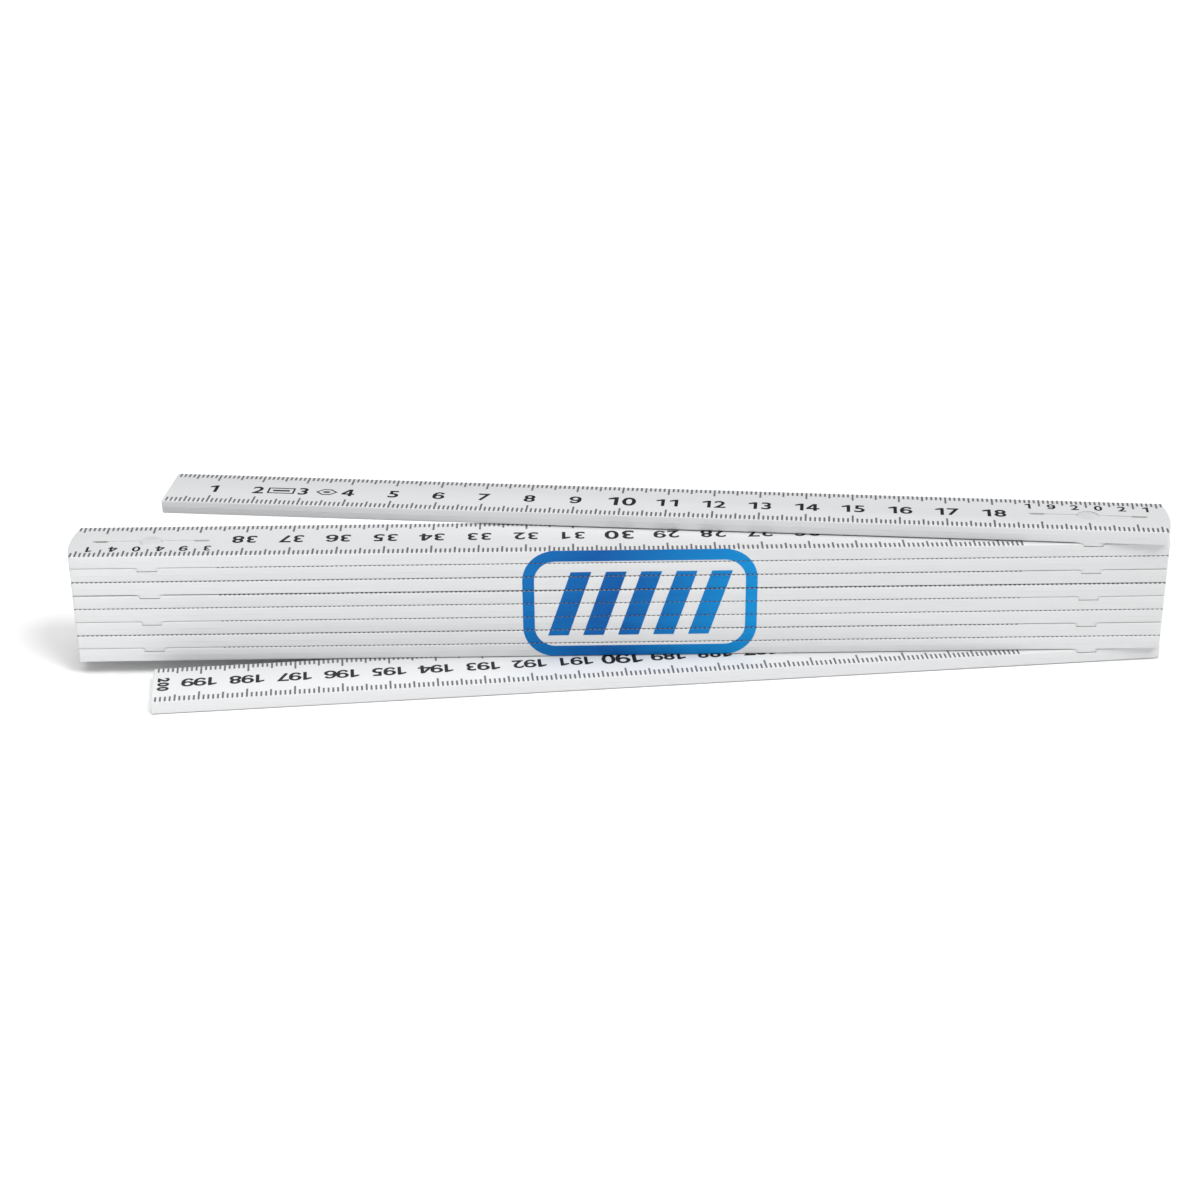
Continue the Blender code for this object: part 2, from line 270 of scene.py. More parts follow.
def plate(name, outlines, bottom, top):
    """Closed mesh between two heights, from flat outlines. Inner outlines are holes."""
    curve = bpy.data.curves.new(name, "CURVE")
    curve.dimensions = "2D"
    curve.fill_mode = "BOTH"
    curve.extrude = (top - bottom) / 2
    for outline in outlines:
        spline = curve.splines.new("POLY")
        spline.points.add(len(outline) - 1)
        spline.use_cyclic_u = True
        for point, (x, y) in zip(spline.points, outline):
            point.co = (x, y, 0.0, 1.0)
    flat = add_object(name, curve)
    mesh = evaluated_mesh(flat, name)
    remove_object(flat)
    shape = bmesh.new()
    shape.from_mesh(mesh)
    bmesh.ops.remove_doubles(shape, verts=shape.verts, dist=MERGE_DISTANCE)
    bmesh.ops.dissolve_limit(
        shape, angle_limit=FLAT_ANGLE, verts=shape.verts, edges=shape.edges
    )
    bmesh.ops.translate(shape, verts=shape.verts, vec=(0.0, 0.0, (top + bottom) / 2))
    bmesh.ops.recalc_face_normals(shape, faces=shape.faces)
    shape.to_mesh(mesh)
    shape.free()
    return mesh


def box(name, start, end):
    """Closed box between two opposite corners."""
    size = [high - low for low, high in zip(start, end)]
    center = [(low + high) / 2 for low, high in zip(start, end)]
    shape = bmesh.new()
    bmesh.ops.create_cube(shape, size=1.0)
    bmesh.ops.scale(shape, verts=shape.verts, vec=size)
    bmesh.ops.translate(shape, verts=shape.verts, vec=center)
    mesh = bpy.data.meshes.new(name)
    shape.to_mesh(mesh)
    shape.free()
    return mesh


def turned(name, points):
    """Solid of revolution about Z, from its half section, top to bottom."""
    mesh = bpy.data.meshes.new(name)
    edges = [(index, index + 1) for index in range(len(points) - 1)]
    mesh.from_pydata([(x, 0.0, z) for x, z in points], edges, [])
    section = add_object(name, mesh)
    screw = section.modifiers.new("turn", "SCREW")
    screw.steps = screw.render_steps = ROUND_SEGMENTS
    screw.use_merge_vertices = True
    screw.merge_threshold = MERGE_DISTANCE
    solid = evaluated_mesh(section, name)
    remove_object(section)
    return solid


def rounded(mesh, radius, steps):
    """The mesh with every edge between its true faces rounded off."""
    holder = add_object(mesh.name, mesh)
    bevel = holder.modifiers.new("round", "BEVEL")
    bevel.width = radius
    bevel.segments = steps
    bevel.limit_method = "ANGLE"
    bevel.angle_limit = SMOOTH_ANGLE
    result = evaluated_mesh(holder, mesh.name)
    remove_object(holder)
    return result


def combined(mesh, tools):
    """The mesh joined with or cut by each (operation, tool mesh) in turn."""
    holder = add_object(mesh.name, mesh)
    helpers = []
    for operation, tool in tools:
        helper = add_object(tool.name, tool)
        modifier = holder.modifiers.new(tool.name, "BOOLEAN")
        modifier.operation = operation
        modifier.object = helper
        helpers.append(helper)
    result = evaluated_mesh(holder, mesh.name)
    for target in [holder, *helpers]:
        remove_object(target)
    return result


def moved(mesh, offset):
    copy = mesh.copy()
    copy.transform(Matrix.Translation(offset))
    return copy


# ---- links ----


def link_outline(first_square, last_square):
    """Rim of a link, with a square-cut end on a pivot line or an arc beyond the pivot."""
    spread = math.asin(HALF_WIDTH / END_RADIUS)
    inward = END_RADIUS - END_REACH
    first = [(0.0, HALF_WIDTH), (0.0, -HALF_WIDTH)]
    last = [(PIVOT_SPACING, -HALF_WIDTH), (PIVOT_SPACING, HALF_WIDTH)]
    if not first_square:
        center = (inward, 0.0)
        first = arc(center, END_RADIUS, math.pi - spread, math.pi + spread, ARC_SEGMENTS)
    if not last_square:
        center = (PIVOT_SPACING - inward, 0.0)
        last = arc(center, END_RADIUS, -spread, spread, ARC_SEGMENTS)
    return first + last


def boss_mesh():
    """Round boss under the link, trimmed flush with the link's two sides."""
    spread = math.asin(HALF_WIDTH / BOSS_RADIUS)
    right = arc((0.0, 0.0), BOSS_RADIUS, -spread, spread, ARC_SEGMENTS)
    left = arc((0.0, 0.0), BOSS_RADIUS, math.pi - spread, math.pi + spread, ARC_SEGMENTS)
    solid = plate("boss", [right + left], -BOSS_DEPTH, LINK_THICKNESS / 2)
    return rounded(solid, EDGE_RADIUS / 2, EDGE_STEPS)


def upper_bore():
    """The head's seat, the pin's hole and the round of the spring's pocket."""
    top = LINK_THICKNESS + CUT_PAST
    seat = HEAD_TOP - PIN_HEAD_HEIGHT - HOLE_CLEARANCE
    return turned(
        "upper_bore",
        [
            (0.0, top),
            (HEAD_HOLE_RADIUS, top),
            (HEAD_HOLE_RADIUS, seat),
            (SHAFT_HOLE_RADIUS, seat),
            (SHAFT_HOLE_RADIUS, POCKET_TOP),
            (POCKET_RADIUS, POCKET_TOP),
            (POCKET_RADIUS, -BOSS_DEPTH - CUT_PAST),
            (0.0, -BOSS_DEPTH - CUT_PAST),
        ],
    )


def lower_bore():
    """The boss's recess, the pin's hole and the foot's seat, at the link's far pivot."""
    top = LINK_THICKNESS + CUT_PAST
    floor = LINK_THICKNESS - BOSS_DEPTH - RECESS_CLEARANCE
    seat = FOOT_BOTTOM + LINK_RISE + PIN_HEAD_HEIGHT + HOLE_CLEARANCE
    solid = turned(
        "lower_bore",
        [
            (0.0, top),
            (RECESS_RADIUS, top),
            (RECESS_RADIUS, floor),
            (SHAFT_HOLE_RADIUS, floor),
            (SHAFT_HOLE_RADIUS, seat),
            (HEAD_HOLE_RADIUS, seat),
            (HEAD_HOLE_RADIUS, -CUT_PAST),
            (0.0, -CUT_PAST),
        ],
    )
    return moved(solid, (PIVOT_SPACING, 0.0, 0.0))


def slot_cutters(surface):
    """The spring's pocket, the slot above it and the slot's two deep ends."""
    top = LINK_THICKNESS + CUT_PAST
    half_slot = SLOT_WIDTH / 2
    half_pocket = TAIL_WIDTH / 2 + SPRING_CLEARANCE
    pocket_end = SPRING_HALF_LENGTH + SPRING_CLEARANCE
    window = SLOT_HALF_LENGTH - WINDOW_LENGTH
    deep = POCKET_TOP - SPRING_HEIGHT / 2
    spans = {
        "pocket": ((-pocket_end, -BOSS_DEPTH - CUT_PAST), (pocket_end, POCKET_TOP)),
        "slot": ((-SLOT_HALF_LENGTH, surface - SLOT_DEPTH), (SLOT_HALF_LENGTH, top)),
        "window_a": ((-pocket_end, deep), (-window, top)),
        "window_b": ((window, deep), (pocket_end, top)),
    }
    for name, ((x0, z0), (x1, z1)) in spans.items():
        half = half_pocket if name == "pocket" else half_slot
        yield box(name, (x0, -half, z0), (x1, half, z1))


def link_mesh(number):
    is_top = number == 1
    is_bottom = number == LINK_COUNT
    outline = link_outline(first_square=is_bottom, last_square=is_top)
    surface = top_height(number)
    body = rounded(plate("link", [outline], 0.0, surface), EDGE_RADIUS, EDGE_STEPS)
    tools = []
    if not is_bottom:
        tools.append(("UNION", boss_mesh()))
        tools.append(("DIFFERENCE", upper_bore()))
        tools += [("DIFFERENCE", cutter) for cutter in slot_cutters(surface)]
    if not is_top:
        tools.append(("DIFFERENCE", lower_bore()))
    return combined(body, tools)


# ---- pins and springs ----


def pin_mesh():
    """Flat round head and foot with softened rims, a shaft and a four-sided cam."""
    quarter = math.pi / 2
    rim = PIN_RADIUS - PIN_EDGE_RADIUS
    head_center = (rim, HEAD_TOP - PIN_EDGE_RADIUS)
    foot_center = (rim, FOOT_BOTTOM + PIN_EDGE_RADIUS)
    head_rim = arc(head_center, PIN_EDGE_RADIUS, quarter, 0.0, PIN_EDGE_STEPS)
    foot_rim = arc(foot_center, PIN_EDGE_RADIUS, 0.0, -quarter, PIN_EDGE_STEPS)
    head_bottom = HEAD_TOP - PIN_HEAD_HEIGHT
    foot_top = FOOT_BOTTOM + PIN_HEAD_HEIGHT
    solid = turned(
        "pivot_pin",
        [
            (0.0, HEAD_TOP),
            *head_rim,
            (PIN_RADIUS, head_bottom),
            (PIN_SHAFT_RADIUS, head_bottom),
            (PIN_SHAFT_RADIUS, foot_top),
            (PIN_RADIUS, foot_top),
            *foot_rim,
            (0.0, FOOT_BOTTOM),
        ],
    )
    half = CAM_SIDE / 2
    cam = box("cam", (-half, -half, 0.0), (half, half, CAM_HEIGHT))
    return combined(solid, [("UNION", rounded(cam, CAM_EDGE, PIN_EDGE_STEPS))])


def spring_mesh():
    """An eye round the pin, a straight tail at each side, and a tab at the outer tip."""
    half_tail = TAIL_WIDTH / 2
    root = math.asin(half_tail / EYE_OUTER_RADIUS)
    tip = SPRING_HALF_LENGTH
    back = arc((0.0, 0.0), EYE_OUTER_RADIUS, root, math.pi - root, ARC_SEGMENTS)
    front = arc(
        (0.0, 0.0), EYE_OUTER_RADIUS, math.pi + root, 2 * math.pi - root, ARC_SEGMENTS
    )
    quarter = math.pi / 2
    right_tip = arc((tip - half_tail, 0.0), half_tail, -quarter, quarter, TIP_SEGMENTS)
    left_tip = arc((half_tail - tip, 0.0), half_tail, quarter, 3 * quarter, TIP_SEGMENTS)
    eye = arc((0.0, 0.0), EYE_INNER_RADIUS, 0.0, 2 * math.pi, 2 * ARC_SEGMENTS)[:-1]
    outlines = [right_tip + back + left_tip + front, eye]
    tab_start = (half_tail - tip, -half_tail, SPRING_BOTTOM)
    tab_end = (SPRING_TAB_LENGTH - tip, half_tail, SPRING_TAB_TOP)
    strip = plate("spring", outlines, SPRING_BOTTOM, SPRING_TOP)
    whole = combined(strip, [("UNION", box("tab", tab_start, tab_end))])
    return rounded(whole, SPRING_EDGE, SPRING_EDGE_STEPS)


# ---- printed scale ----


class Print:
    """Thin raised ink, gathered from many small shapes into one mesh."""

    TICK, NUMERAL = 0, 1

    def __init__(self):
        self.points = []
        self.faces = []
        self.inks = []
        self.count = 0

    def stamp(self, shape, matrix, ink=NUMERAL):
        points, faces = shape
        self.inks += [ink] * len(faces)
        turn = np.array(matrix.to_3x3())
        shift = np.array(matrix.translation)
        self.points.append(points @ turn.T + shift)
        self.faces += [[index + self.count for index in face] for face in faces]
        self.count += len(points)

    def mesh(self, name):
        made = bpy.data.meshes.new(name)
        made.from_pydata(np.concatenate(self.points).tolist(), [], self.faces)
        made.polygons.foreach_set("material_index", self.inks)
        return made


def shape_of(mesh):
    points = np.array([vertex.co for vertex in mesh.vertices])
    return points, [list(face.vertices) for face in mesh.polygons]


def tick_shape(length, wrap_steps):
    """One line of the scale: from part way round the link's rounded edge, inwards."""
    corner = (HALF_WIDTH - EDGE_RADIUS, LINK_THICKNESS - EDGE_RADIUS)
    start = math.pi / 2 * (1 - wrap_steps / EDGE_STEPS)
    over = arc(corner, EDGE_RADIUS + INK_HEIGHT, start, math.pi / 2, max(wrap_steps, 1))
    under = arc(corner, EDGE_RADIUS - INK_HEIGHT, start, math.pi / 2, max(wrap_steps, 1))
    if not wrap_steps:
        over, under = over[-1:], under[-1:]
    inner = HALF_WIDTH - length
    over.append((inner, LINK_THICKNESS + INK_HEIGHT))
    under.append((inner, LINK_THICKNESS - INK_HEIGHT))
    section = over + under[::-1]
    half = TICK_WIDTH / 2
    points = [(x, y, z) for x in (-half, half) for y, z in section]
    size = len(section)
    sides = [[i, (i + 1) % size, (i + 1) % size + size, i + size] for i in range(size)]
    caps = [list(range(size))[::-1], list(range(size, 2 * size))]
    return np.array(points), sides + caps


def stroke_digit(outlines):
    """A digit with straight strokes, one unit tall, as (points, faces)."""
    mesh = plate("digit", outlines, -1.0, 1.0)
    shape = shape_of(mesh)
    bpy.data.meshes.remove(mesh)
    return shape


def digit_one():
    """An upright with a short flag at its top."""
    s = DIGIT_STROKE
    flag = [(-0.8 * s, 1.0), (-0.28 - s, 0.84), (-0.28 - s, 0.69), (-s, 0.75)]
    return [[(-s, 0.0), (0.0, 0.0), (0.0, 1.0), *flag]]


def digit_four():
    """A slanted stroke, a crossbar and an upright, with a three-sided eye."""
    s = DIGIT_STROKE
    bar = 0.22
    right = 0.72
    stem = 0.58
    foot = [(stem - s, 0.0), (stem, 0.0), (stem, bar)]
    tip = [(right, bar), (right, bar + 0.9 * s), (stem, bar + 0.9 * s)]
    top = [(stem, 1.0), (stem - 1.1 * s, 1.0), (0.0, bar + 0.9 * s), (0.0, bar)]
    eye = [(stem - s, bar + 0.9 * s), (stem - s, 0.74), (1.05 * s, bar + 0.9 * s)]
    return [foot + tip + top + [(stem - s, bar)], eye]


def ellipse(center, radii, start, end, segments):
    """Points on an upright ellipse, from one angle to another in degrees."""
    degrees = [start + (end - start) * i / segments for i in range(segments + 1)]
    angles = [math.radians(degree) for degree in degrees]
    (x, y), (across, up) = center, radii
    return [(x + across * math.cos(a), y + up * math.sin(a)) for a in angles]


def digit_six():
    """A bowl with a stem that curls over it."""
    s = DIGIT_STROKE
    bowl, bowl_radii = (0.34, 0.32), (0.34, 0.32)
    curl, curl_radii = (0.37, 0.52), (0.37, 0.48)
    inner_radii = (curl_radii[0] - s, curl_radii[1] - 0.85 * s)
    outside = ellipse(curl, curl_radii, 38, 180, 14)
    around = ellipse(bowl, bowl_radii, 180, 475, 28)
    inside = ellipse(curl, inner_radii, 152, 30, 12)
    eye = ellipse(bowl, (bowl_radii[0] - s, bowl_radii[1] - 0.85 * s), 0, 345, 23)
    return [outside + around + inside, eye]


def font_digit(character, boldness):
    """A digit of the plain built-in typeface, made bolder, as a closed mesh."""
    text = bpy.data.curves.new("digit", "FONT")
    text.body = character
    text.offset = boldness
    text.resolution_u = FONT_STEPS
    text.extrude = 1.0
    holder = add_object("digit", text)
    mesh = evaluated_mesh(holder, "digit")
    remove_object(holder)
    shape = bmesh.new()
    shape.from_mesh(mesh)
    bmesh.ops.remove_doubles(shape, verts=shape.verts, dist=FONT_MERGE_DISTANCE)
    shape.to_mesh(mesh)
    shape.free()
    return shape_of(mesh)


def unit_digit(character, boldness=FONT_BOLDNESS):
    """(points, faces) of a digit one unit tall, centred on its own middle."""
    made = {"1": digit_one, "4": digit_four, "6": digit_six, "9": digit_six}
    if character in made:
        points, faces = stroke_digit(made[character]())
    else:
        points, faces = font_digit(character, boldness)
    if character == "9":
        points[:, :2] *= -1
    low, high = points.min(0), points.max(0)
    points = points - (low + high) / 2
    points[:, :2] /= high[1] - low[1]
    points[:, 0] *= DIGIT_WIDENING
    points[:, 2] = np.sign(points[:, 2])
    return points, faces


DIGITS = {character: unit_digit(character) for character in "0123456789"}
BOLD_DIGITS = {character: unit_digit(character, END_VALUE_BOLDNESS) for character in "20"}
TOP_TICKS = {name: tick_shape(size, TICK_WRAP_STEPS) for name, size in TICK_LENGTHS.items()}
UNDER_TICKS = {name: tick_shape(size, 0) for name, size in TICK_LENGTHS.items()}
READING_TURN = Matrix.Rotation(math.pi, 4, "Z")  # numerals read towards higher values


def value_x(number, value):
    """Where a value of the scale lies along a link, in the link's own frame."""
    return (VALUES_PER_LINK * number - value) / VALUES_PER_LINK * PIVOT_SPACING


def stamp_ticks(ink, ticks, number, face, first, last):
    """Lines on both edges, from one value to another, a millimetre apart."""
    for line in range(round(first * LINES_PER_VALUE), round(last * LINES_PER_VALUE) + 1):
        kind = "millimetre"
        if line % LINES_PER_VALUE == 0:
            kind = "centimetre"
        elif line % (LINES_PER_VALUE // 2) == 0:
            kind = "half"
        place = Matrix.Translation((value_x(number, line / LINES_PER_VALUE), 0.0, 0.0))
        ink.stamp(ticks[kind], face @ place, Print.TICK)
        ink.stamp(ticks[kind], face @ place @ READING_TURN, Print.TICK)


def stamp_number(ink, face, text, x, y, height, pitch, turn=0.0, digits=DIGITS):
    """A numeral centred on (x, y). The turn is counted from the usual reading direction."""
    middle = Matrix.Translation((x, y, LINK_THICKNESS)) @ READING_TURN
    middle = middle @ Matrix.Rotation(turn, 4, "Z")
    for index, character in enumerate(text):
        offset = (index - (len(text) - 1) / 2) * pitch
        place = Matrix.Translation((offset, 0.0, 0.0))
        points, faces = digits[character]
        sized = (points * np.array([height, height, INK_HEIGHT]), faces)
        ink.stamp(sized, face @ middle @ place)


def stamp_full_numerals(ink, number, face):
    """Large numerals along the link, clear of the small ones beside its joints."""
    start = VALUES_PER_LINK * (number - 1) + (1 if number == 1 else 2)
    end = VALUES_PER_LINK * number - (1 if number == LINK_COUNT else 2)
    for value in range(start, end + 1):
        height = TENS_HEIGHT if value % 10 == 0 else NUMERAL_HEIGHT
        pitch = DIGIT_PITCH[len(str(value))] * height / NUMERAL_HEIGHT
        x = value_x(number, value)
        stamp_number(ink, face, str(value), x, NUMERAL_SHIFT, height, pitch)


def stamp_joint_numerals(ink, number, face, joint_value):
    """Small numerals beside a joint, one digit to each gap between the longer lines."""
    for value in (joint_value - 1, joint_value, joint_value + 1):
        text = str(value)
        long = len(text) == 3
        height = JOINT_LONG_NUMERAL_HEIGHT if long else JOINT_NUMERAL_HEIGHT
        row = JOINT_LONG_ROW if long else JOINT_ROW
        step = JOINT_DIGIT_STEP[len(text)]
        stamp_number(ink, face, text, value_x(number, value), row, height, step)


def stamp_last_value(ink, face):
    """The end value stands across the rule's end."""
    last = VALUES_PER_LINK * LINK_COUNT
    x = value_x(LINK_COUNT, last - END_VALUE_INSET)
    size = (END_VALUE_HEIGHT, END_VALUE_PITCH)
    stamp_number(ink, face, str(last), x, 0.0, *size, math.pi / 2, BOLD_DIGITS)


def shrunk(outline, shares):
    across, up = shares
    return [(x * across, y * up) for x, y in outline]


def stamp_marks(ink, face):
    """Two plain outlines between the first numerals, a frame and a lozenge."""
    half_length, half_height = FRAME_HALF_SIZE
    rim = [(-half_length, -half_height), (half_length, -half_height)]
    rim += [(half_length, half_height), (-half_length, half_height)]
    hole = [tuple(math.copysign(abs(v) - MARK_LINE, v) for v in point) for point in rim]
    bar = shrunk(rim, FRAME_BAR_SHARE)
    half_length, half_height = LOZENGE_HALF_SIZE
    outer = [(half_length, 0.0)]
    outer += [(LOZENGE_HALF_FLAT, half_height), (-LOZENGE_HALF_FLAT, half_height)]
    outer += [(-x, -y) for x, y in outer]
    inner = shrunk(outer, LOZENGE_HOLE_SHARE)
    bead = shrunk(outer, LOZENGE_BEAD_SHARE)
    marks = ((FRAME_VALUE, [rim, hole, bar]), (LOZENGE_VALUE, [outer, inner, bead]))
    for value, outlines in marks:
        mesh = plate("mark", outlines, -INK_HEIGHT, INK_HEIGHT)
        place = Matrix.Translation((value_x(1, value), NUMERAL_SHIFT, LINK_THICKNESS))
        ink.stamp(shape_of(mesh), face @ place)
        bpy.data.meshes.remove(mesh)


def scale_mesh(number):
    """The scale on a link's top face and on its underside."""
    ink = Print()
    is_top = number == 1
    is_bottom = number == LINK_COUNT
    high = VALUES_PER_LINK * number
    low = high - VALUES_PER_LINK
    top = Matrix.Translation((0.0, 0.0, top_height(number) - LINK_THICKNESS))
    middle = Matrix.Translation((0.0, 0.0, LINK_THICKNESS / 2))
    under = middle @ Matrix.Rotation(math.pi, 4, "X") @ middle.inverted()
    square_first = low + 1 / LINES_PER_VALUE
    square_last = high - 1 / LINES_PER_VALUE
    top_first = square_first if is_top else low + FIRST_PAST_COVERED
    top_last = square_last if is_bottom else high + LAST_BEFORE_END
    under_first = square_first if is_top else low - LAST_BEFORE_END
    under_last = square_last if is_bottom else high - FIRST_PAST_COVERED
    top_side = (top, TOP_TICKS, top_first, top_last)
    under_side = (under, UNDER_TICKS, under_first, under_last)
    for face, ticks, first, last in (top_side, under_side):
        stamp_ticks(ink, ticks, number, face, first, last)
        stamp_full_numerals(ink, number, face)
        if is_bottom:
            stamp_last_value(ink, face)
    if is_top:
        stamp_marks(ink, top)
    if not is_bottom:
        stamp_joint_numerals(ink, number, top, high)
    if not is_top:
        stamp_joint_numerals(ink, number, under, low)
    return ink.mesh(f"scale_{number:02d}")


# ---- blue print on the front edges ----

BADGE_CENTER_X = 4.1 * MM
BADGE_LENGTH = 50 * MM
BADGE_CORNER = 7 * MM
BADGE_BAND = 2.5 * MM
BADGE_BLOCK_HALF_DEPTH = 1 * MM  # only for cutting; the strips end up as thin ink
BAR_COUNT = 5
BAR_LENGTH = 4.4 * MM
BAR_STEP = 7.5 * MM
BAR_SLANT = 5 * MM


def rounded_rectangle(center, half_length, half_height, radius):
    """Rim of a rectangle with round corners, anticlockwise."""
    x, y = center
    half_length -= radius
    half_height -= radius
    rim = []
    for quarter, (sx, sy) in enumerate(((1, 1), (-1, 1), (-1, -1), (1, -1))):
        corner = (x + sx * half_length, y + sy * half_height)
        start = quarter * math.pi / 2
        rim += arc(corner, radius, start, start + math.pi / 2, CORNER_SEGMENTS)
    return rim


def badge_outlines(low, high):
    """A round-cornered frame filled with slanted bars, in X and Z."""
    center = (BADGE_CENTER_X, (low + high) / 2)
    half_length = BADGE_LENGTH / 2
    half_height = (high - low) / 2
    outlines = []
    for inset in (0.0, BADGE_BAND):
        size = (half_length - inset, half_height - inset)
        outlines.append(rounded_rectangle(center, *size, BADGE_CORNER - inset))
    bar_half = half_height - 2 * BADGE_BAND
    for index in range(BAR_COUNT):
        x = center[0] + (index - (BAR_COUNT - 1) / 2) * BAR_STEP - BAR_LENGTH / 2
        foot = x - BAR_SLANT / 2
        head = x + BAR_SLANT / 2
        outlines.append(
            [
                (foot, center[1] - bar_half),
                (foot + BAR_LENGTH, center[1] - bar_half),
                (head + BAR_LENGTH, center[1] + bar_half),
                (head, center[1] + bar_half),
            ]
        )
    return outlines


def edge_inset(depth):
    """How far the rounded edge stands back from the side, this deep below the face."""
    if depth >= EDGE_RADIUS:
        return 0.0
    rise = EDGE_RADIUS - depth
    return EDGE_RADIUS - math.sqrt(EDGE_RADIUS**2 - rise**2)


def badge_strip(badge, number, front):
    """The part of the badge on one link's front edge, wrapped over its two corners."""
    low = PIVOTS[number].z
    high = low + top_height(number)
    turns = [math.pi / 2 * step / EDGE_STEPS for step in range(EDGE_STEPS)]
    rims = [EDGE_RADIUS * (1 - math.sin(turn)) for turn in turns]
    reach = BADGE_LENGTH
    block = box("block", (-reach, -reach, low + rims[-1]), (reach, reach, high - rims[-1]))
    strip = combined(badge, [("INTERSECT", block)])
    shape = bmesh.new()
    shape.from_mesh(strip)
    for depth in rims:
        for level in (low + depth, high - depth):
            bmesh.ops.bisect_plane(
                shape,
                geom=[*shape.verts, *shape.edges, *shape.faces],
                dist=MERGE_DISTANCE / 10,
                plane_co=(0.0, 0.0, level),
                plane_no=(0.0, 0.0, 1.0),
            )
    for vertex in shape.verts:
        depth = min(vertex.co.z - low, high - vertex.co.z)
        side = math.copysign(INK_HEIGHT, vertex.co.y)
        vertex.co.y = front + edge_inset(depth) + side
    shape.to_mesh(strip)
    shape.free()
    return strip


# ---- materials ----

PARTING_LINE_HEIGHT = 0.24 * MM
PARTING_LINE_RELIEF = 0.03 * MM


def new_material(name, roughness, metallic=0.0):
    material = bpy.data.materials.new(name)
    material.use_nodes = True
    shader = material.node_tree.nodes["Principled BSDF"]
    shader.inputs["Roughness"].default_value = roughness
    shader.inputs["Metallic"].default_value = metallic
    return material, material.node_tree, shader


def noise(tree, scale, detail=3.0, stretch=(1.0, 1.0, 1.0)):
    """Noise in the piece's own coordinates, in metres, and its 0 to 1 output."""
    coordinates = tree.nodes.new("ShaderNodeTexCoord")
    mapping = tree.nodes.new("ShaderNodeMapping")
    mapping.inputs["Scale"].default_value = stretch
    texture = tree.nodes.new("ShaderNodeTexNoise")
    texture.inputs["Scale"].default_value = scale
    texture.inputs["Detail"].default_value = detail
    tree.links.new(coordinates.outputs["Object"], mapping.inputs["Vector"])
    tree.links.new(mapping.outputs["Vector"], texture.inputs["Vector"])
    return texture.outputs["Fac"]


def own_axis(tree, axis):
    """One of the piece's own coordinates, in metres."""
    coordinates = tree.nodes.new("ShaderNodeTexCoord")
    split = tree.nodes.new("ShaderNodeSeparateXYZ")
    tree.links.new(coordinates.outputs["Object"], split.inputs["Vector"])
    return split.outputs[axis]


def ramp(tree, source, stops):
    """Colour ramp through (position, linear colour) stops."""
    node = tree.nodes.new("ShaderNodeValToRGB")
    tree.links.new(source, node.inputs["Fac"])
    elements = node.color_ramp.elements
    while len(elements) < len(stops):
        elements.new(0.5)
    for element, (position, color) in zip(elements, stops):
        element.position = position
        element.color = (*color, 1.0)
    return node.outputs["Color"]


def vary_roughness(tree, shader, source, low, high):
    spread = tree.nodes.new("ShaderNodeMapRange")
    spread.inputs["To Min"].default_value = low
    spread.inputs["To Max"].default_value = high
    tree.links.new(source, spread.inputs["Value"])
    tree.links.new(spread.outputs["Result"], shader.inputs["Roughness"])


def add_bump(tree, shader, source, distance, strength=1.0, base=None):
    """Relief from a height, on top of a base relief where one is given."""
    bump = tree.nodes.new("ShaderNodeBump")
    bump.inputs["Distance"].default_value = distance
    bump.inputs["Strength"].default_value = strength
    tree.links.new(source, bump.inputs["Height"])
    if base:
        tree.links.new(base, bump.inputs["Normal"])
    tree.links.new(bump.outputs["Normal"], shader.inputs["Normal"])
    return bump.outputs["Normal"]


def parting_line(tree, level, half_height):
    """1 on a level line round the piece's sides, falling to 0 a little above and below."""
    away = tree.nodes.new("ShaderNodeMath")
    away.operation = "SUBTRACT"
    away.inputs[1].default_value = level
    tree.links.new(own_axis(tree, "Z"), away.inputs[0])
    size = tree.nodes.new("ShaderNodeMath")
    size.operation = "ABSOLUTE"
    tree.links.new(away.outputs[0], size.inputs[0])
    ridge = tree.nodes.new("ShaderNodeMapRange")
    ridge.inputs["From Max"].default_value = half_height
    ridge.inputs["To Min"].default_value = 1.0
    ridge.inputs["To Max"].default_value = 0.0
    tree.links.new(size.outputs[0], ridge.inputs["Value"])
    return ridge.outputs["Result"]


def link_plastic():
    """White glass-filled plastic: satin, with faint flow lines, a fine moulded grain and
    the mould's parting line half way up the sides."""
    material, tree, shader = new_material("link_plastic_white", 0.42)
    flow = noise(tree, 55.0, detail=4.0, stretch=(0.25, 2.0, 2.0))
    tint = ramp(tree, flow, [(0.3, (0.66, 0.667, 0.674)), (0.7, (0.684, 0.691, 0.696))])
    tree.links.new(tint, shader.inputs["Base Color"])
    vary_roughness(tree, shader, noise(tree, 300.0), 0.34, 0.5)
    speckle = noise(tree, 2200.0, detail=2.0)
    grain = add_bump(tree, shader, speckle, 0.01 * MM, strength=0.5)
    line = parting_line(tree, LINK_THICKNESS / 2, PARTING_LINE_HEIGHT / 2)
    add_bump(tree, shader, line, PARTING_LINE_RELIEF, base=grain)
    return material


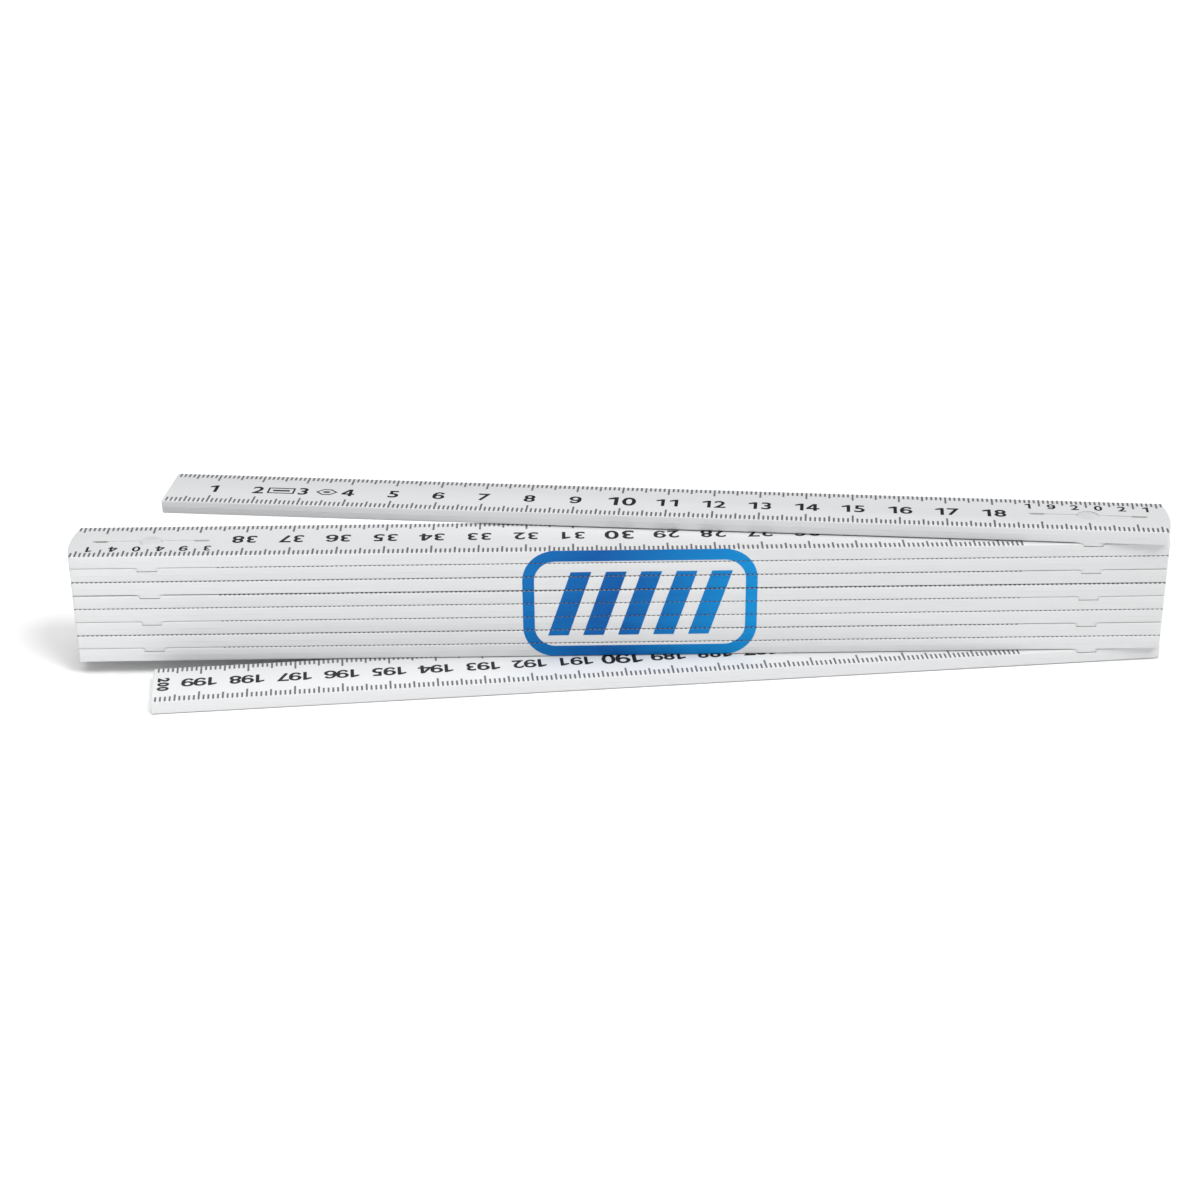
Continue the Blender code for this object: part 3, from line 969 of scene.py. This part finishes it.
def pin_plastic():
    """Light grey plastic with fine rings on the head."""
    material, tree, shader = new_material("pin_plastic_grey", 0.38)
    stops = [(0.3, (0.60, 0.61, 0.62)), (0.7, (0.66, 0.67, 0.68))]
    tree.links.new(ramp(tree, noise(tree, 400.0), stops), shader.inputs["Base Color"])
    coordinates = tree.nodes.new("ShaderNodeTexCoord")
    rings = tree.nodes.new("ShaderNodeTexWave")
    rings.wave_type = "RINGS"
    rings.rings_direction = "Z"
    rings.inputs["Scale"].default_value = 900.0
    rings.inputs["Distortion"].default_value = 0.3
    tree.links.new(coordinates.outputs["Object"], rings.inputs["Vector"])
    add_bump(tree, shader, rings.outputs["Fac"], 0.01 * MM, strength=0.6)
    return material


def spring_steel():
    """Tempered strip: brownish steel, brushed along its length."""
    material, tree, shader = new_material("spring_steel_tempered", 0.35, metallic=1.0)
    brushed = noise(tree, 900.0, detail=2.0, stretch=(0.1, 1.0, 1.0))
    tint = ramp(tree, brushed, [(0.3, (0.26, 0.20, 0.12)), (0.7, (0.42, 0.34, 0.23))])
    tree.links.new(tint, shader.inputs["Base Color"])
    vary_roughness(tree, shader, brushed, 0.28, 0.5)
    return material


def scale_ink(name, dark, light):
    """Printed ink with a slightly uneven body, between two linear greys."""
    material, tree, shader = new_material(name, 0.5)
    shader.inputs["Specular IOR Level"].default_value = 0.2
    stops = [(0.3, (dark, dark, 1.1 * dark)), (0.75, (light, light, 1.1 * light))]
    tree.links.new(ramp(tree, noise(tree, 1200.0), stops), shader.inputs["Base Color"])
    vary_roughness(tree, shader, noise(tree, 700.0), 0.4, 0.6)
    return material


def blue_ink():
    """Printed blue that runs from deep to azure, with faint streaks along the edge."""
    material, tree, shader = new_material("edge_ink_blue", 0.55)
    shader.inputs["Specular IOR Level"].default_value = 0.15
    across = tree.nodes.new("ShaderNodeMapRange")
    across.inputs["From Min"].default_value = BADGE_CENTER_X - BADGE_LENGTH / 2
    across.inputs["From Max"].default_value = BADGE_CENTER_X + BADGE_LENGTH / 2
    tree.links.new(own_axis(tree, "X"), across.inputs["Value"])
    streaks = noise(tree, 600.0, detail=2.0, stretch=(0.05, 1.0, 1.0))
    blend = tree.nodes.new("ShaderNodeMix")
    blend.inputs["Factor"].default_value = 0.25
    tree.links.new(across.outputs["Result"], blend.inputs["A"])
    tree.links.new(streaks, blend.inputs["B"])
    stops = [(0.1, (0.002, 0.15, 0.44)), (0.4, (0.001, 0.09, 0.34))]
    stops.append((0.9, (0.002, 0.25, 0.60)))
    tint = ramp(tree, blend.outputs["Result"], stops)
    tree.links.new(tint, shader.inputs["Base Color"])
    return material


# ---- the pieces ----


def make_links(plastic):
    meshes = {}
    for number in range(1, LINK_COUNT + 1):
        kind = (number == 1, number == LINK_COUNT, top_height(number))
        if kind not in meshes:
            meshes[kind] = shade(link_mesh(number), plastic)
        piece = add_object(f"{link_name(number)}_body", meshes[kind], link_matrix(number))
        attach(piece, link_name(number))
        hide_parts(link_name(number))


def make_pins(plastic):
    mesh = shade(pin_mesh(), plastic)
    for number in range(1, LINK_COUNT):
        turn = Matrix.Rotation(link_angle(number + 1), 4, "Z")
        place = Matrix.Translation(PIVOTS[number]) @ turn
        piece = add_object(f"pin_{number:02d}", mesh, place)
        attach(piece, link_name(number + 1))
        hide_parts(f"pivot_pin_{number:02d}")


def make_springs(steel):
    mesh = shade(spring_mesh(), steel)
    for number in range(1, LINK_COUNT):
        piece = add_object(f"spring_{number:02d}", mesh, link_matrix(number))
        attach(piece, link_name(number))
        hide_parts(f"detent_spring_{number:02d}")


def make_scales(inks):
    for number in range(1, LINK_COUNT + 1):
        mesh = scale_mesh(number)
        for ink in inks:
            mesh.materials.append(ink)
        piece = add_object(f"scale_{number:02d}", mesh, link_matrix(number))
        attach(piece, link_name(number))


def make_badge(ink):
    """The blue print runs over the front edges of all links but the two swung open."""
    first, last = 2, LINK_COUNT - 1
    low = PIVOTS[last].z
    high = PIVOTS[first].z + top_height(first)
    outlines = badge_outlines(low, high)
    badge = plate("badge", outlines, -BADGE_BLOCK_HALF_DEPTH, BADGE_BLOCK_HALF_DEPTH)
    badge.transform(Matrix.Rotation(math.pi / 2, 4, "X"))
    front = MIDDLE_LOW.y
    for number in range(first, last + 1):
        mesh = shade(badge_strip(badge, number, front), ink)
        piece = add_object(f"edge_print_{number:02d}", mesh)
        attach(piece, link_name(number))


# ---- floor, light and camera ----

FLOOR_RADIUS = 12.0
FLOOR_SEGMENTS = 96
FLOOR_DROP = 0.15 * MM  # the lowest link isn't quite flat, so its edges stand clear
CAMERA_OFFSET = Vector((-10.3, -462.3, 238.6)) * MM  # from the middle of the pivots
CAMERA_PITCH = math.radians(26.03)
CAMERA_YAW = math.radians(0.74)
CAMERA_ROLL = math.radians(-0.40)
CAMERA_LENS = 71.3
CAMERA_SENSOR = 36.0
CAMERA_NEAR = 0.01
WORLD_STRENGTH = 0.21
# Direction towards a lamp, its spread in degrees and its share
OVERHEAD_LIGHT = ((0.0, -0.12, 1.0), 60.0, 0.54)
KEY_LIGHT = ((0.65, -0.55, 1.0), 25.0, 0.41)
# Where the panel stands, what it faces, its side in metres and its power in watts
FILL_LIGHT = ((-0.2, -0.25, 0.12), (-0.05, 0.0, 0.0), 0.2, 0.16)


def make_floor():
    material, tree, shader = new_material("floor_paper", 0.8)
    stops = [(0.3, (0.955, 0.955, 0.955)), (0.7, (0.97, 0.97, 0.97))]
    tint = ramp(tree, noise(tree, 3.0), stops)
    tree.links.new(tint, shader.inputs["Base Color"])
    shape = bmesh.new()
    bmesh.ops.create_circle(
        shape, cap_ends=True, segments=FLOOR_SEGMENTS, radius=FLOOR_RADIUS
    )
    mesh = bpy.data.meshes.new("floor")
    shape.to_mesh(mesh)
    shape.free()
    mesh.materials.append(material)
    add_object("floor", mesh, Matrix.Translation((0.0, 0.0, -FLOOR_DROP)))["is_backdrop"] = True


def make_soft_light(name, direction, spread, share):
    """A broad distant lamp. Its share is what it adds to a level white surface."""
    toward = Vector(direction).normalized()
    light = bpy.data.lights.new(name, "SUN")
    light.angle = math.radians(spread)
    light.energy = math.pi * share / toward.z
    lamp = bpy.data.objects.new(name, light)
    bpy.context.scene.collection.objects.link(lamp)
    lamp.location = toward
    lamp.rotation_euler = toward.to_track_quat("Z", "Y").to_euler()


def make_fill_light(location, target, size, power):
    """A near panel that lifts the shade at one end. The camera doesn't see it."""
    light = bpy.data.lights.new("fill", "AREA")
    light.size = size
    light.energy = power
    lamp = bpy.data.objects.new("fill", light)
    bpy.context.scene.collection.objects.link(lamp)
    lamp.location = location
    toward = Vector(location) - Vector(target)
    lamp.rotation_euler = toward.to_track_quat("Z", "Y").to_euler()
    lamp.visible_camera = False


def make_lights():
    world = bpy.data.worlds.new("studio")
    bpy.context.scene.world = world
    world.use_nodes = True
    sky = world.node_tree.nodes["Background"]
    sky.inputs["Color"].default_value = (1.0, 1.0, 1.0, 1.0)
    sky.inputs["Strength"].default_value = WORLD_STRENGTH
    make_soft_light("overhead", *OVERHEAD_LIGHT)
    make_soft_light("key", *KEY_LIGHT)
    make_fill_light(*FILL_LIGHT)


def make_camera():
    camera = bpy.data.cameras.new("camera")
    camera.lens = CAMERA_LENS
    camera.sensor_width = CAMERA_SENSOR
    camera.clip_start = CAMERA_NEAR
    view = bpy.data.objects.new("camera", camera)
    bpy.context.scene.collection.objects.link(view)
    column = Vector((0.0, PIVOTS[1].y, 0.0))
    turn = Matrix.Rotation(-CAMERA_YAW, 4, "Z")
    turn = turn @ Matrix.Rotation(math.pi / 2 - CAMERA_PITCH, 4, "X")
    turn = turn @ Matrix.Rotation(CAMERA_ROLL, 4, "Z")
    view.matrix_world = Matrix.Translation(column + CAMERA_OFFSET) @ turn
    bpy.context.scene.camera = view


def write_sizes():
    boxes = {"cad": CAD_BOUNDS, "visual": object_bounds()}
    plain = {name: [list(corner) for corner in corners] for name, corners in boxes.items()}


make_links(link_plastic())
make_pins(pin_plastic())
make_springs(spring_steel())
line_ink = scale_ink("tick_ink", dark=0.11, light=0.17)
numeral_ink = scale_ink("numeral_ink", dark=0.008, light=0.02)
make_scales([line_ink, numeral_ink])
make_badge(blue_ink())
make_floor()
make_lights()
make_camera()
bpy.context.scene.view_settings.view_transform = "Standard"
write_sizes()
